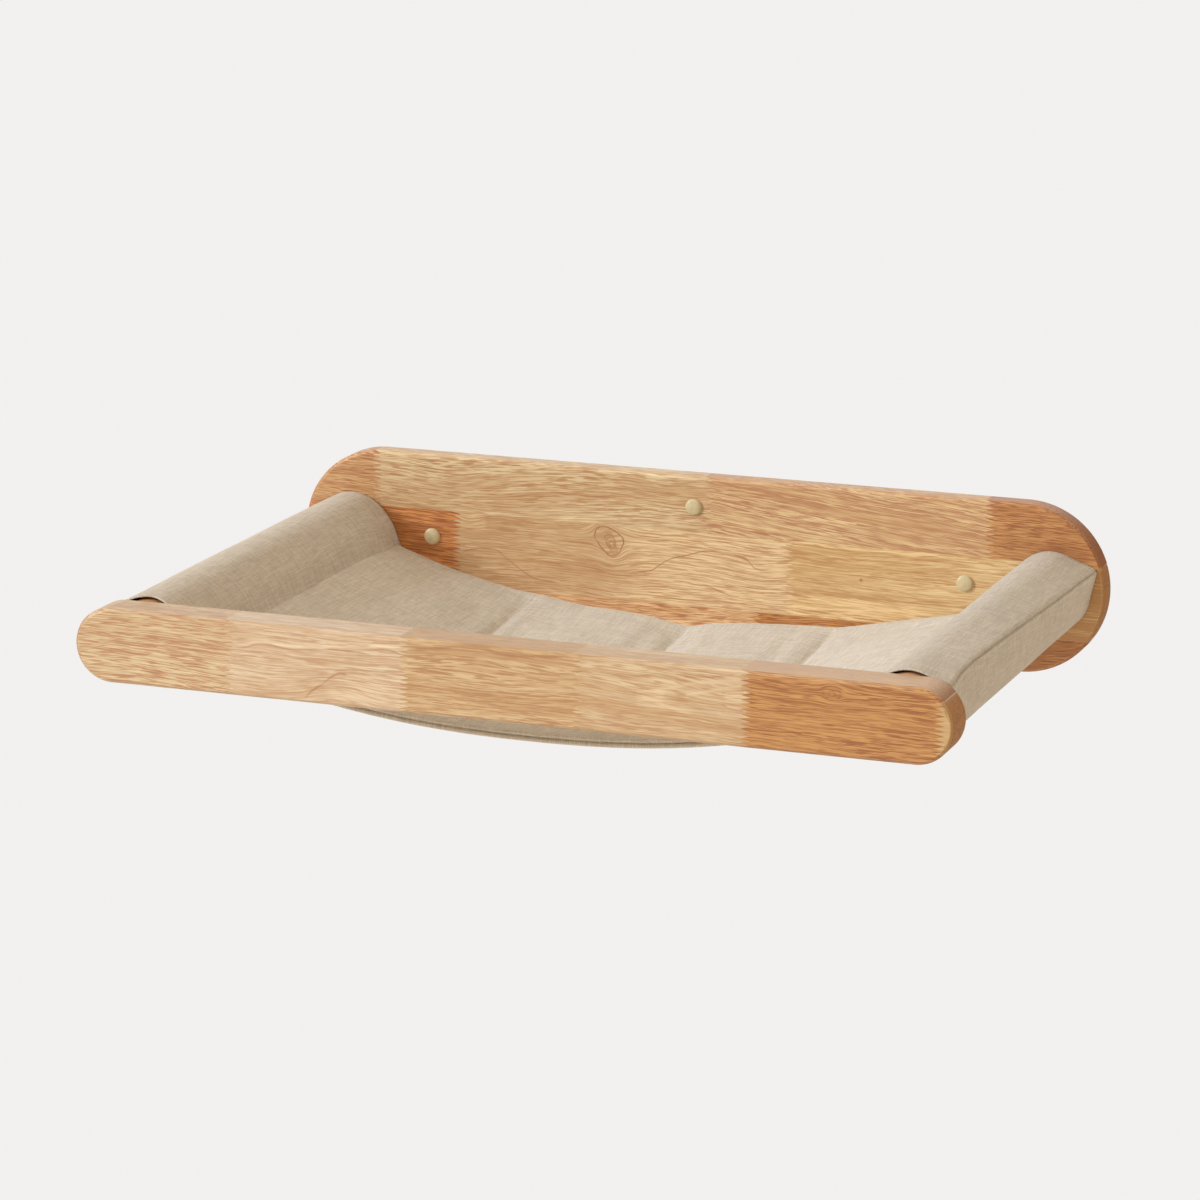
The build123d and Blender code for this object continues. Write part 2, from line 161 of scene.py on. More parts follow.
class Graph:
    """The node tree of a material or a world, with short ways to add the nodes that they share."""

    def __init__(self, owner):
        self.owner = owner
        owner.use_nodes = True
        self.tree = owner.node_tree
        self.tree.nodes.clear()

    def put(self, socket, value):
        if isinstance(value, bpy.types.NodeSocket):
            self.tree.links.new(value, socket)
        else:
            socket.default_value = value

    def node(self, kind, inputs=(), **settings):
        made = self.tree.nodes.new("ShaderNode" + kind)
        for key, value in settings.items():
            setattr(made, key, value)
        for key, value in dict(inputs).items():
            self.put(made.inputs[key], value)
        return made

    def math(self, operation, first, second=0.0, third=0.0, clamp=False):
        inputs = {0: first, 1: second, 2: third}
        return self.node("Math", inputs, operation=operation, use_clamp=clamp).outputs[0]

    def plus(self, first, second):
        return self.math("ADD", first, second)

    def minus(self, first, second):
        return self.math("SUBTRACT", first, second)

    def times(self, first, second, clamp=False):
        return self.math("MULTIPLY", first, second, clamp=clamp)

    def over(self, first, second):
        return self.math("DIVIDE", first, second)

    def times_plus(self, first, second, third):
        return self.math("MULTIPLY_ADD", first, second, third)

    def away(self, value):
        return self.math("ABSOLUTE", value)

    def square(self, value):
        return self.times(value, value)

    def decay(self, value):
        """1 at zero, falling towards 0 as the value grows."""
        return self.math("EXPONENT", self.times(value, -1.0))

    def noise(self, vector, detail=2.0, roughness=0.5):
        """Noise at the scale that the vector already has."""
        inputs = {"Vector": vector, "Scale": 1.0, "Detail": detail, "Roughness": roughness}
        return self.node("TexNoise", inputs).outputs["Fac"]

    def range(self, value, low, high, to_low=0.0, to_high=1.0, smooth=True):
        inputs = {"Value": value, "From Min": low, "From Max": high}
        inputs.update({"To Min": to_low, "To Max": to_high})
        kind = "SMOOTHSTEP" if smooth else "LINEAR"
        return self.node("MapRange", inputs, interpolation_type=kind).outputs[0]

    def curve(self, value, spots):
        """A curve through spots whose both coordinates run from 0 to 1."""
        made = self.node("FloatCurve", {"Value": value})
        handles = made.mapping.curves[0].points
        handles[0].location, handles[-1].location = spots[0], spots[-1]
        for spot in spots[1:-1]:
            handles.new(*spot)
        made.mapping.update()
        return made.outputs[0]

    def mix(self, factor, first, second):
        inputs = {0: factor, 6: first, 7: second}
        return self.node("Mix", inputs, data_type="RGBA").outputs[2]

    def scaled(self, vector, scale, shift=(0, 0, 0)):
        inputs = {"Vector": vector, "Scale": scale, "Location": shift}
        return self.node("Mapping", inputs).outputs[0]

    def split(self, vector):
        return self.node("SeparateXYZ", {0: vector}).outputs

    def join(self, x=0.0, y=0.0, z=0.0):
        return self.node("CombineXYZ", {0: x, 1: y, 2: z}).outputs[0]

    def bump(self, height, distance):
        inputs = {"Height": height, "Distance": distance, "Strength": 1.0}
        return self.node("Bump", inputs).outputs[0]

    def finish(self, **inputs):
        """The material, with these inputs on its surface."""
        surface = {key.replace("_", " "): value for key, value in inputs.items()}
        self.node("OutputMaterial", {0: self.node("BsdfPrincipled", surface).outputs[0]})
        return self.owner


def shade(tone, *shares):
    """A tone with its channels multiplied by one share or by one each, up to white."""
    shares = shares * 3 if len(shares) == 1 else shares
    return tuple(min(1.0, value * share) for value, share in zip(tone[:3], shares)) + (1,)


# Slow and quick drift of the grain across its own direction, as (noise scales, rise)
SLOW_DRIFT = ((7, 20, 18), 11 * MM)
QUICK_DRIFT = ((45, 80, 90), 0.8 * MM)
# Layers of the grain, as (noise scales, detail, roughness, the seed's part in their place)
BROAD = ((4, 30, 52), 3.0, 0.6, 1.3)
STREAKS = ((15, 540, 860), 3.0, 0.62, 2.1)
VESSELS = ((70, 1250, 1600), 1.0, 0.5, 3.7)
VESSEL_GATE = ((10, 150, 180), 1.0, 0.5, 4.4)
FIBRES = ((70, 1500, 2400), 1.0, 0.5, 5.9)
# How much of each layer shows
DARK_STREAKS, PALE_STREAKS, VESSEL_TONE, DEEP_VESSELS, FIBRE_TONE = 0.55, 0.62, 0.90, 0.35, 0.24
# Tones as shares of others: deep and line tones of dark, the end grain's of middle, with painted
# shade
DEEP, LINE_TONE, PALE, END_PORES = 0.66, (0.74, 0.58, 0.42), 1.16, 0.72
END_FACE_GRAIN_AND_SHADE = (0.53, 0.34, 0.18)
PORE_SCALE = (900, 160, 420)
WOOD_RELIEF = 0.05 * MM
SMALLEST_SHARE = 0.05


def wood(name, light, middle, dark, seed, tilt=0.0, bends=(), knots=(), lines=(), patches=(),
         strokes=1.0, bands=1.0, upper=None, ends=END_FACE_GRAIN_AND_SHADE):
    """Lacquered rubberwood whose grain runs along X: soft bands, fine streaks and the short
    reddish vessel lines of the species. Places are (x, z) in millimetres. A bend (x, z, width,
    height, rise) lifts the grain, a knot (x, z, outline, rings, pushes) is drawn by its outline
    (degrees, radius), a line runs through points, and a patch (x, z, half width, half height,
    amount) is paler or, below zero, darker. The upper face can have a tone of painted light or
    shade, (colour, share), for how the light and its reflection fall on it. The end grain's tone
    is a share of the middle tone, darker both for the grain and as painted shade."""
    g = Graph(bpy.data.materials.new(name))
    coordinates = g.node("TexCoord").outputs
    place = coordinates["Object"]
    x, y, z = g.split(place)
    grain_z = z
    for bend in bends:
        grain_z = bent(g, x, z, grain_z, *bend)
    slow = g.noise(g.scaled(place, SLOW_DRIFT[0], (seed * 1.7, seed, seed * 2.3)), 1.0)
    quick = g.noise(g.scaled(place, QUICK_DRIFT[0], (seed * 2.9, seed, seed)), 1.0)
    knot_marks = []
    for knot in knots:
        grain_z, rings = knotted(g, x, z, grain_z, quick, *knot)
        knot_marks += rings
    grain_z = g.times_plus(x, tilt, grain_z)
    grain_z = g.times_plus(slow, SLOW_DRIFT[1], grain_z)
    grain_z = g.times_plus(quick, QUICK_DRIFT[1], grain_z)
    grain = g.join(x, y, grain_z)

    def layer(scale, detail, rough, salt):
        shift = (seed * salt, seed * 0.61 * salt, seed * 0.37 * salt)
        return g.noise(g.scaled(grain, scale, shift), detail, rough)

    broad, streaks, vessels, gate, fibres = (
        layer(*settings) for settings in (BROAD, STREAKS, VESSELS, VESSEL_GATE, FIBRES)
    )
    vessel_marks = g.times(g.range(vessels, 0.47, 0.58), g.range(gate, 0.25, 0.60, 0.45, 1.0))
    line_tone, pale = shade(dark, *LINE_TONE), shade(light, PALE)

    colour = g.mix(g.range(broad, 0.37, 0.63), light, middle)
    for *patch, amount in patches:
        inside = g.times(patch_mask(g, x, z, quick, *patch), abs(amount))
        colour = g.mix(inside, colour, pale if amount > 0 else dark)
    for share, tone in (
        (g.times(g.range(streaks, 0.46, 0.66), DARK_STREAKS * bands), dark),
        (g.times(g.range(streaks, 0.46, 0.30), PALE_STREAKS), pale),
        (g.times(vessel_marks, VESSEL_TONE * strokes, clamp=True), dark),
        (g.times(g.range(vessels, 0.62, 0.74), DEEP_VESSELS * strokes), shade(dark, DEEP)),
        (g.times(g.range(fibres, 0.42, 0.70), FIBRE_TONE), dark),
    ):
        colour = g.mix(share, colour, tone)
    for mark in knot_marks:
        colour = g.mix(mark, colour, line_tone)
    for points, thickness, strength in lines:
        mask = grain_line(g, x, z, quick, points, thickness, abs(strength))
        colour = g.mix(mask, colour, line_tone if strength > 0 else pale)

    across, _, upward = g.split(coordinates["Normal"])
    # Painted light and shade: faces that point up get a paler or darker tone for how the light and
    # its reflection fall on them
    if upper:
        colour = g.mix(g.times(g.range(upward, 0.55, 0.9), upper[1]), colour, srgb(*upper[0]))

    # The round ends show end grain, which takes up more of the finish and looks darker; their tone
    # is darkened further as painted shade
    pores = g.noise(g.scaled(place, PORE_SCALE, (seed, seed, seed)), 3.0, 0.6)
    end_face_tone_and_shade = shade(middle, *ends)
    end_face_tone_and_shade = g.mix(g.range(pores, 0.42, 0.68), end_face_tone_and_shade, shade(end_face_tone_and_shade, END_PORES))
    end_face_grain_and_shade = g.times(g.range(g.away(across), 0.25, 0.95), 0.9)
    colour = g.mix(end_face_grain_and_shade, colour, end_face_tone_and_shade)
    relief = g.minus(fibres, g.times(vessel_marks, 0.6))
    return g.finish(
        Base_Color=colour,
        Roughness=g.times_plus(end_face_grain_and_shade, 0.35, g.range(fibres, 0.2, 0.8, 0.42, 0.54)),
        Normal=g.bump(relief, WOOD_RELIEF),
        Coat_Weight=g.times_plus(end_face_grain_and_shade, -0.36, 0.35),
        Coat_Roughness=0.28,
    )


def bent(g, x, z, grain_z, bend_x, bend_z, width, height, rise):
    """The grain's height, lifted round a place."""
    across = g.over(g.minus(x, bend_x * MM), width * MM)
    up = g.over(g.minus(z, bend_z * MM), height * MM)
    swell = g.decay(g.plus(g.square(across), g.square(up)))
    return g.times_plus(swell, rise * MM, grain_z)


def knotted(g, x, z, grain_z, wobble, knot_x, knot_z, outline, rings, pushes):
    """The grain's height, pushed apart round a knot, and the masks of the knot's rings."""
    over, up = g.minus(x, knot_x * MM), g.minus(z, knot_z * MM)
    share, distance = knot_distance(g, over, up, outline)
    share = g.math("MAXIMUM", share, SMALLEST_SHARE)
    if pushes:
        near = g.square(g.math("MINIMUM", g.over(1.0, share), 1.0))
        grain_z = g.minus(grain_z, g.times(g.times(up, near), 0.8))
    marks = []
    for ring_share, thickness, strength in rings:
        off = g.minus(distance, g.over(g.times(distance, ring_share), share))
        mark = g.decay(g.square(g.over(off, thickness * MM)))
        marks.append(g.times(mark, g.range(wobble, 0.3, 0.55, strength * 0.6, strength)))
    return grain_z, marks


def knot_distance(g, over, up, outline):
    """How far out a point is from a knot's centre: as a share of its outline, and in metres."""
    reach = 1.3 * max(radius for _, radius in outline) * MM
    turn = g.range(g.math("ARCTAN2", up, over), -pi, pi, smooth=False)
    edge = g.curve(turn, [((angle + 180) / 360, radius * MM / reach) for angle, radius in outline])
    distance = g.math("SQRT", g.plus(g.square(over), g.square(up)))
    return g.over(distance, g.times(edge, reach)), distance


def patch_mask(g, x, z, wobble, patch_x, patch_z, half_width, half_height):
    """1 inside a soft-edged patch whose upper and lower edges waver."""
    over = g.away(g.minus(x, patch_x * MM))
    up = g.away(g.minus(g.times_plus(wobble, 3 * MM, z), (patch_z + 1.5) * MM))
    return g.times(g.range(over, half_width * 1.25 * MM, half_width * 0.8 * MM),
                   g.range(up, half_height * 1.15 * MM, half_height * 0.85 * MM))


def grain_line(g, x, z, wobble, points, thickness, strength):
    """A line of the grain through (x, z) points in millimetres, as a mask."""
    left, right = points[0][0], points[-1][0]
    low, high = min(p[1] for p in points) - 1, max(p[1] for p in points) + 1
    along = g.range(x, left * MM, right * MM, smooth=False)
    line = g.curve(along, [((px - left) / (right - left), (pz - low) / (high - low))
                           for px, pz in points])
    height = g.times_plus(line, (high - low) * MM, low * MM)
    height = g.plus(height, g.times_plus(wobble, 1.6 * MM, -0.8 * MM))
    mask = g.decay(g.square(g.over(g.minus(z, height), thickness * MM)))
    fade = g.times(g.range(along, 0.0, 0.08), g.range(along, 1.0, 0.92))
    mask = g.times(g.times(mask, fade), strength)
    return g.times(mask, g.range(wobble, 0.25, 0.5, 0.45, 1.0))


def linen(name, tint, slub=1.0, hem=None):
    """Plain-woven linen, by the cloth's own coordinates in metres: threads of uneven thickness
    and tone that pass over and under each other, with painted shade where they dip. A hem
    (a, b) is a paler line, y = a + b x^2: a painted highlight where the hem's rolled edge catches
    the light."""
    g = Graph(bpy.data.materials.new(name))
    place = g.node("TexCoord").outputs["UV"]
    wander = g.noise(g.scaled(place, WANDER_SCALE), 2.0)
    u, v, _ = g.split(place)
    u = g.times_plus(wander, THREAD_WANDER, u)
    v = g.times_plus(wander, THREAD_WANDER, v)
    lanes = []
    for along, cross, salt in ((u, v, 0.0), (v, u, 40.0)):
        lane = g.over(cross, THREAD)
        number = g.math("FLOOR", lane)
        middle = g.times_plus(g.math("FRACT", lane), 2.0, -1.0)
        body = g.math("SQRT", g.minus(1.0, g.square(middle)), clamp=True)
        place_on = g.join(g.times(along, THREAD_TONE[0]), g.times(number, THREAD_TONE[1]), salt)
        lanes.append((number, body, g.noise(place_on, 3.0, 0.6)))
    (row, row_body, row_tone), (column, column_body, column_tone) = lanes
    over = g.range(g.math("MODULO", g.away(g.plus(row, column)), 2.0), 0.4, 0.6)
    under = g.minus(1.0, over)
    height = g.plus(g.times(row_body, over), g.times(column_body, under))
    tone = g.plus(g.times(row_tone, over), g.times(column_tone, under))
    slubs = g.range(g.math("MAXIMUM", row_tone, column_tone), 0.60, 0.78)
    soil = g.noise(g.scaled(place, SOIL_SCALE), 3.0)
    deep, pale = shade(tint, 0.62), shade(tint, 1.16)
    colour = g.mix(g.range(tone, 0.3, 0.7), deep, pale)
    colour = g.mix(0.22, colour, tint)
    # Painted shade: darker at the threads' edges and between them, where the weave dips
    colour = g.mix(g.times(g.range(height, 0.55, 0.0), 0.5), colour, deep)
    colour = g.mix(g.times(slubs, 0.35 * slub), colour, pale)
    colour = g.mix(g.times(g.range(soil, 0.35, 0.75), 0.10), colour, deep)
    # Painted highlight: a paler line along the hem's rolled edge, where it catches the light
    if hem:
        x, y, _ = g.split(g.node("TexCoord").outputs["Object"])
        edge = g.times_plus(g.square(x), hem[1], hem[0])
        inside = g.times_plus(wander, 1.2 * MM, g.minus(edge, y))
        colour = g.mix(g.range(inside, *HEM_HIGHLIGHT, 0.0, 0.65), colour, pale)
    return g.finish(
        Base_Color=colour,
        Roughness=0.92,
        Normal=g.bump(g.times_plus(slubs, 0.5, height), WEAVE_RELIEF),
        Sheen_Weight=0.18,
        Sheen_Roughness=0.6,
        Specular_IOR_Level=0.25,
    )


def moulded_plastic(name, colour):
    g = Graph(bpy.data.materials.new(name))
    place = g.node("TexCoord").outputs["Object"]
    fine = g.noise(g.scaled(place, (2600, 2600, 2600)), 2.0)
    cloud = g.noise(g.scaled(place, (300, 300, 300)), 2.0)
    return g.finish(
        Base_Color=g.mix(g.range(cloud, 0.3, 0.75), colour, shade(colour, 0.86)),
        Roughness=g.range(fine, 0.3, 0.7, 0.40, 0.52),
        Normal=g.bump(fine, 0.02 * MM),
    )


def metal(name, colour, worn):
    g = Graph(bpy.data.materials.new(name))
    place = g.node("TexCoord").outputs["Object"]
    fine = g.noise(g.scaled(place, (900, 5000, 900)), 3.0)
    cloud = g.noise(g.scaled(place, (160, 160, 160)), 3.0)
    return g.finish(
        Base_Color=g.mix(g.range(cloud, 0.35, 0.7), colour, worn),
        Metallic=1.0,
        Roughness=g.range(fine, 0.25, 0.75, 0.26, 0.44),
        Normal=g.bump(fine, 0.015 * MM),
    )


# The knot in the back board, as (degrees, radius in millimetres) round its centre
KNOT_OUTLINE = [(-180, 9.6), (-172, 8.8), (-126, 7.8), (-94, 9.7), (-79, 10.7), (-58, 11.0),
                (-20, 10.0), (5, 10.9), (39, 9.5), (65, 8.9), (88, 9.8), (115, 11.6), (140, 12.8),
                (152, 12.4), (166, 11.5), (180, 9.6)]
KNOT_HEART = [(-180, 3.6), (-142, 2.8), (-98, 4.2), (-85, 6.2), (-69, 7.0), (-55, 6.0), (-31, 4.8),
              (-18, 3.0), (35, 3.3), (69, 4.9), (90, 7.1), (110, 8.0), (130, 8.2), (151, 5.0),
              (180, 3.6)]

# Wood of every stave: its tones, its seed and what its grain does
STAVES = {
    "back_board_top_stave_1": dict(
        light=(210, 176, 125), middle=(193, 150, 102), dark=(162, 104, 62),
        seed=1.1, tilt=0.05, strokes=1.2),
    "back_board_top_stave_2": dict(
        light=(220, 203, 165), middle=(202, 174, 132), dark=(176, 131, 88),
        seed=2.3, tilt=-0.02,
        bends=((-180, 44, 40, 14, 5), (-30, 30, 60, 14, -5))),
    "back_board_top_stave_3": dict(
        light=(217, 192, 146), middle=(202, 169, 123), dark=(174, 122, 86),
        seed=3.2, tilt=0.10, bands=1.35),
    "back_board_top_stave_4": dict(
        light=(199, 150, 95), middle=(183, 131, 80), dark=(149, 93, 52),
        seed=4.6, tilt=0.03, strokes=1.2),
    "back_board_middle_stave_1": dict(
        light=(214, 149, 88), middle=(196, 127, 71), dark=(148, 87, 44),
        seed=5.4, tilt=0.04, bands=1.3,
        lines=(([(-226, 0.9), (-203, 2.1), (-184, -0.8)], 0.45, 0.6),)),
    "back_board_middle_stave_2": dict(
        light=(214, 192, 151), middle=(200, 172, 127), dark=(172, 122, 79),
        seed=6.7, strokes=0.75,
        bends=((50, -8, 30, 17, 4), (-172, 14, 14, 9, 5)),
        patches=((-125, 0, 62, 40, -0.26), (-170, 13.5, 11, 5.5, 0.7), (20, -6, 66, 30, 1.0)),
        knots=((-63.5, 7.5, KNOT_OUTLINE, ((1.0, 0.45, 1.0),), True),
               (-61.5, 5.0, KNOT_HEART, ((1.0, 0.5, 0.7), (0.72, 0.45, 0.5), (0.4, 0.5, 0.75)),
                False)),
        lines=(([(-180, -13.3), (-167, -6.5), (-154, -5.3), (-144, -10.2), (-135, -16.5),
                 (-124, -23.2), (-114, -25.4), (-100, -26.4)], 0.40, 0.7),
               ([(-46, -12.5), (-33.5, -11.4), (-26, -7.0), (-17, -1.2), (-4, 2.5), (12, 6.9),
                 (26, 7.0), (35, 5.0), (42, 1.4), (47, -3.0), (52, -3.5), (59, 0.1)], 0.42, 0.8),
               ([(-6, -17.5), (10, -18.6), (26, -23.4), (36, -24.4)], 0.42, 0.6))),
    "back_board_middle_stave_3": dict(
        light=(220, 196, 149), middle=(205, 174, 123), dark=(180, 134, 82),
        seed=7.9, tilt=0.03, strokes=0.85,
        # The dark patch at the right end, beside the right sleeve, is painted shade where the
        # sleeve's shadow falls
        patches=((291, 0, 24, 40, -0.95), (118, -28, 52, 8.5, 1.0), (130, 18.2, 70, 1.6, 0.9),
                 (120, -15.5, 60, 2.6, -0.35)),
        knots=((124.5, -4.2, [(-180, 1.0), (0, 1.4), (180, 1.0)], ((0.5, 0.5, 0.9),), True),)),
    "back_board_bottom_stave_1": dict(
        light=(212, 173, 131), middle=(200, 154, 110), dark=(171, 113, 73), seed=8.8),
    "back_board_bottom_stave_2": dict(
        light=(220, 187, 141), middle=(205, 168, 119), dark=(173, 119, 79),
        seed=9.5, strokes=1.2),
    "back_board_bottom_stave_3": dict(
        # Its deep orange tones are partly painted shade, for its right end beside the right sleeve
        light=(198, 144, 85), middle=(179, 121, 63), dark=(141, 83, 38),
        seed=10.9, tilt=-0.02, patches=((96, -24, 74, 8, 1.0),),
        bends=((205, -34, 60, 16, 6), (262, -18, 24, 20, 10))),
    "front_board_stave_1": dict(
        light=(212, 197, 161), middle=(200, 180, 141), dark=(179, 134, 97),
        seed=11.2, strokes=1.35),
    "front_board_stave_2": dict(
        light=(217, 204, 178), middle=(205, 182, 149), dark=(181, 143, 106),
        seed=12.4, strokes=0.8,
        bends=((-112, -16, 26, 14, -7),),
        patches=((-120, 7.5, 60, 4, -0.28), (-88, -12, 26, 9, 0.35)),
        lines=(([(-187, 9.2), (-177, 10.4), (-162.4, 13.8), (-155, 12.6), (-148, 12.0),
                 (-132, 13.2), (-114, 14.7), (-98, 15.5), (-80, 17.5), (-68, 16.3)], 1.0, -0.7),
               ([(-187, 7.2), (-177, 8.4), (-162.4, 11.8), (-155, 10.6), (-148, 10.0),
                 (-132, 11.2), (-114, 12.7), (-98, 13.5), (-80, 15.5), (-69, 14.3),
                 (-62, 12.3)], 0.6, 0.6),
               ([(-136, -21.7), (-128.4, -15), (-123, -11.1), (-118.5, -7.2), (-114, -4.3),
                 (-110.4, -3.1), (-105, -3.6)], 0.8, 0.7),
               ([(-116, -2.7), (-105, 0), (-87, 0.8), (-69, 1.7)], 0.5, 0.4))),
    "front_board_stave_3": dict(
        light=(206, 184, 145), middle=(196, 167, 122), dark=(172, 129, 86),
        seed=13.7, upper=((176, 138, 92), 0.45),
        bends=((-15, 16, 40, 10, -5),),
        patches=((-10, 19, 50, 2.5, -0.5),),
        lines=(([(-64, 17.3), (-41, 20.2), (-22, 23.2), (-10, 23.4), (-2, 20.6), (14, 20.4),
                 (31, 21.4), (49, 22.4)], 1.3, 0.45),)),
    "front_board_stave_4": dict(
        light=(208, 190, 156), middle=(195, 168, 128), dark=(172, 127, 86),
        seed=14.3, strokes=0.75, bands=0.8,
        bends=((152, 7, 34, 10, 7), (96, 4, 24, 8, 4)),
        patches=((102, 2, 9, 6, 0.6), (159, 4, 7, 8, 0.5)),
        lines=(([(101, 5.5), (117, 10), (135, 14.6), (164, 18.5)], 1.3, -0.4),
               ([(124, 5.2), (138, 8.5), (147, 11.4), (164.6, 15.7)], 1.2, -0.5),
               ([(95, 2.0), (105.6, -0.5), (117.6, -3.9), (131, -5.1)], 1.3, -0.5),
               ([(149, 9.4), (155, 10.9), (164.6, 12)], 0.6, 0.4),
               ([(149, 2.0), (156, -0.8), (164, -1.4)], 0.6, 0.45),
               ([(123, 16.9), (141, 18.9), (159, 22.0)], 0.4, 0.5))),
    "front_board_stave_5": dict(
        light=(194, 147, 89), middle=(179, 131, 73), dark=(152, 96, 48),
        seed=15.5, tilt=0.02, strokes=1.2, upper=((206, 184, 154), 0.5),
        knots=((221, 15.5, [(-180, 6), (-90, 4), (0, 6.5), (90, 4.5), (180, 6)],
                ((0.35, 0.9, 0.45), (0.9, 0.8, 0.3)), True),)),
    "front_board_stave_6": dict(
        light=(193, 165, 117), middle=(184, 151, 103), dark=(167, 125, 78),
        seed=16.8, strokes=0.15, bands=0.25, upper=((205, 182, 152), 0.45),
        ends=(0.75, 0.50, 0.32)),
}


def piece(name, mesh, material, body=BODY):
    """A new object of the hammock, on a body, with its material."""
    made = bpy.data.objects.new(name, mesh)
    bpy.context.scene.collection.objects.link(made)
    mesh.materials.clear()
    mesh.materials.append(material)
    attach(made, body)
    return made


def smooth_shading(mesh, angle=35):
    for face in mesh.polygons:
        face.use_smooth = True
    mesh.set_sharp_from_angle(angle=radians(angle))


ROUNDING, ROUNDING_STEPS = 1.15 * MM, 3
# How far a broken edge's face leans towards Y, as a share, and the sharpest turn that is rounded
CHAMFER_TILT, SHARPEST = (0.55, 0.85), radians(60)
WELD, FLAT = 0.002 * MM, radians(0.3)


def rounded_copy(node):
    """A stave's own shape with the corners of its broken edges rounded off."""
    work = bmesh.new()
    work.from_mesh(nodes[node].data)
    bmesh.ops.remove_doubles(work, verts=work.verts, dist=WELD)
    bmesh.ops.dissolve_limit(work, angle_limit=FLAT, verts=work.verts, edges=work.edges)
    work.normal_update()

    def is_break(face):
        return CHAMFER_TILT[0] < abs(face.normal.y) < CHAMFER_TILT[1]

    lines = [
        edge for edge in work.edges
        if len(edge.link_faces) == 2
        and sum(is_break(face) for face in edge.link_faces) == 1
        and edge.calc_face_angle(0) < SHARPEST
    ]
    bmesh.ops.bevel(work, geom=lines, offset=ROUNDING, segments=ROUNDING_STEPS, profile=0.5,
                    affect="EDGES", clamp_overlap=True)
    mesh = bpy.data.meshes.new(node + "_wood")
    work.to_mesh(mesh)
    work.free()
    smooth_shading(mesh)
    return mesh


for node, look in STAVES.items():
    tones = {tone: srgb(*look[tone]) for tone in ("light", "middle", "dark")}
    rest = {key: value for key, value in look.items() if key not in tones}
    finish = wood(node + "_grain", **tones, **rest)
    made = piece(node.replace("stave", "wood"), rounded_copy(node), finish)
    flat_faces = made.modifiers.new("flat faces stay flat", "WEIGHTED_NORMAL")
    flat_faces.keep_sharp = True
    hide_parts(node)

# Rails and fixings keep their solids
rail_wood = wood("rail_grain", srgb(222, 182, 138), srgb(206, 162, 116), srgb(176, 120, 78), 21.0)
dowel_wood = wood("dowel_grain", srgb(226, 196, 154), srgb(214, 178, 134), srgb(186, 140, 96), 22.0)
steel = metal("zinc_plated_steel", srgb(196, 198, 200), srgb(150, 152, 156))
brass = metal("machined_brass", srgb(212, 176, 104), srgb(170, 132, 70))
for node, finish in (
    ("left_rail", rail_wood),
    ("right_rail", rail_wood),
    ("rail_dowels", dowel_wood),
    ("rail_bolts", steel),
    ("rail_threaded_inserts", brass),
):
    nodes[node].data.materials.clear()
    nodes[node].data.materials.append(finish)


# Cover caps: a gently domed moulding with a rounded rim, on the solid's ribbed stem
CAP_RADIUS, CAP_CROWN, CAP_SHOULDER, RIM_ROUNDING = 6 * MM, 2.6 * MM, 1.45 * MM, 0.7 * MM
CROWN_STEPS, RIM_STEPS, CAP_TURNS = 8, 5, 48
STEM_RIB, STEM_LENGTH = (9.6 * MM, 2.0 * MM), 4.9 * MM


def cap_profile():
    """Points (radius, height) from the crown's centre out to the rim's foot."""
    flat = CAP_RADIUS - RIM_ROUNDING
    fall = CAP_CROWN - CAP_SHOULDER
    points = []
    for step in range(CROWN_STEPS + 1):
        radius = flat * step / CROWN_STEPS
        points.append((radius, CAP_CROWN - fall * (radius / CAP_RADIUS) ** 2))
    for step in range(1, RIM_STEPS + 1):
        turn = pi / 2 * step / RIM_STEPS
        points.append((flat + RIM_ROUNDING * sin(turn),
                       CAP_SHOULDER - RIM_ROUNDING * (1 - cos(turn))))
    return points + [(CAP_RADIUS, 0.0)]


def cap_mesh(node):
    low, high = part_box(node)
    centre = (low + high) / 2
    face = -BACK_FACE
    work = bmesh.new()
    rows = []
    for radius, height in cap_profile():
        if radius == 0:
            rows.append([work.verts.new((centre.x, face - height, centre.z))] * CAP_TURNS)
            continue
        row = []
        for turn in range(CAP_TURNS):
            angle = 2 * pi * turn / CAP_TURNS
            row.append(work.verts.new((centre.x + radius * cos(angle), face - height,
                                       centre.z + radius * sin(angle))))
        rows.append(row)
    for inner, outer in zip(rows, rows[1:]):
        for turn in range(CAP_TURNS):
            after = (turn + 1) % CAP_TURNS
            corners = (inner[turn], inner[after], outer[after], outer[turn])
            # The crown's centre is one point, so its faces are triangles
            work.faces.new(list(dict.fromkeys(corners)))
    work.faces.new(rows[-1])
    for width, height in (STEM_RIB, STEM_RIB[::-1]):
        for vertex in bmesh.ops.create_cube(work, size=1.0)["verts"]:
            vertex.co.x = centre.x + vertex.co.x * width
            vertex.co.z = centre.z + vertex.co.z * height
            vertex.co.y = face + (0.5 + vertex.co.y) * STEM_LENGTH
    bmesh.ops.recalc_face_normals(work, faces=work.faces)
    mesh = bpy.data.meshes.new(node + "_moulding")
    work.to_mesh(mesh)
    work.free()
    smooth_shading(mesh, 40)
    return mesh


cream_plastic = moulded_plastic("cream_plastic", srgb(203, 189, 150))
for side in ("left", "right", "top"):
    node = f"{side}_cover_cap"
    made = piece(f"{side}_cap_dome", cap_mesh(node), cream_plastic, f"{side}_cap")
    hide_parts(node)


